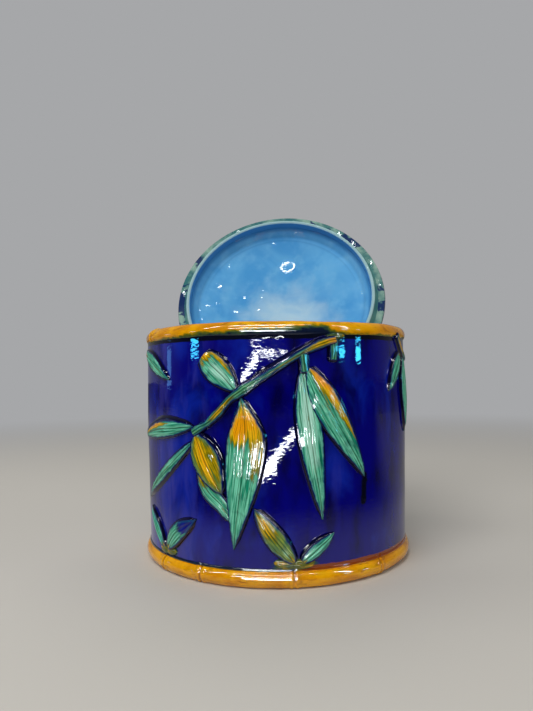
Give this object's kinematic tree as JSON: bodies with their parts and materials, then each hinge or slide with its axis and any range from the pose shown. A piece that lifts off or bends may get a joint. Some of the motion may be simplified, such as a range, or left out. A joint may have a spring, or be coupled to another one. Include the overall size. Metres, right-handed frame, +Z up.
{
  "type": "lidded yarn pot",
  "caption": "Round glazed earthenware covered pot with leafy relief, rolled rim and foot bands, and its lid standing on edge in the open mouth.",
  "frame": {"origin": "centre of the underside, on the surface the pot stands on", "axes": "+Z up the pot's axis; -Y is the front, the side that the open lid's underside faces; +X to the right seen from the front"},
  "size_m": [0.2, 0.203, 0.2787],
  "materials": {
    "cobalt_glaze": "deep cobalt-blue gloss glaze, pooling darker beside the relief; pale blue inside",
    "amber_glaze": "amber gloss glaze with brown and olive runs",
    "twig_glaze": "teal-green and yellow gloss glaze",
    "green_leaf_glaze": "pale green streaked gloss glaze over incised veins",
    "golden_leaf_glaze": "orange and olive streaked gloss glaze over incised veins",
    "pale_blue_glaze": "cloudy pale-blue gloss glaze under the lid; cobalt on its outer side",
    "teal_glaze": "teal and grey-green gloss glaze"
  },
  "bodies": {
    "pot": {"pot_body": "cobalt_glaze", "rim_band": "amber_glaze", "foot_band": "amber_glaze", "front_branch": "twig_glaze", "front_twig_drop": "twig_glaze", "front_twig_stub": "twig_glaze", "front_twig_edge": "twig_glaze", "front_leaf_under": "green_leaf_glaze", "front_leaf_large": "green_leaf_glaze", "front_leaf_olive": "golden_leaf_glaze", "front_leaf_blunt": "green_leaf_glaze", "front_leaf_left": "green_leaf_glaze", "front_leaf_narrow": "green_leaf_glaze", "front_leaf_pale": "green_leaf_glaze", "front_leaf_split": "golden_leaf_glaze", "front_leaf_sprout_left": "golden_leaf_glaze", "front_leaf_sprout_right": "green_leaf_glaze", "front_leaf_low_left": "green_leaf_glaze", "front_leaf_low_right": "green_leaf_glaze", "front_leaf_high": "green_leaf_glaze", "front_leaf_edge": "green_leaf_glaze", "front_leaf_side": "green_leaf_glaze", "back_branch": "twig_glaze", "back_twig_drop": "twig_glaze", "back_twig_stub": "twig_glaze", "back_twig_edge": "twig_glaze", "back_leaf_under": "green_leaf_glaze", "back_leaf_large": "green_leaf_glaze", "back_leaf_olive": "golden_leaf_glaze", "back_leaf_blunt": "green_leaf_glaze", "back_leaf_left": "green_leaf_glaze", "back_leaf_narrow": "green_leaf_glaze", "back_leaf_pale": "green_leaf_glaze", "back_leaf_split": "golden_leaf_glaze", "back_leaf_sprout_left": "golden_leaf_glaze", "back_leaf_sprout_right": "green_leaf_glaze", "back_leaf_low_left": "green_leaf_glaze", "back_leaf_low_right": "green_leaf_glaze", "back_leaf_high": "green_leaf_glaze", "back_leaf_edge": "green_leaf_glaze", "back_leaf_side": "green_leaf_glaze"},
    "lid": {"lid_dome": "pale_blue_glaze", "lid_flange": "teal_glaze", "lid_handle": "amber_glaze", "lid_leaf_1": "green_leaf_glaze", "lid_leaf_2": "green_leaf_glaze", "lid_leaf_3": "green_leaf_glaze", "lid_leaf_4": "green_leaf_glaze"}
  },
  "joints": [
    {"name": "lid_lift", "type": "slide", "parent": "pot", "child": "lid", "axis": [0, 0, 1], "range_m": [0, 0.18]}
  ]
}
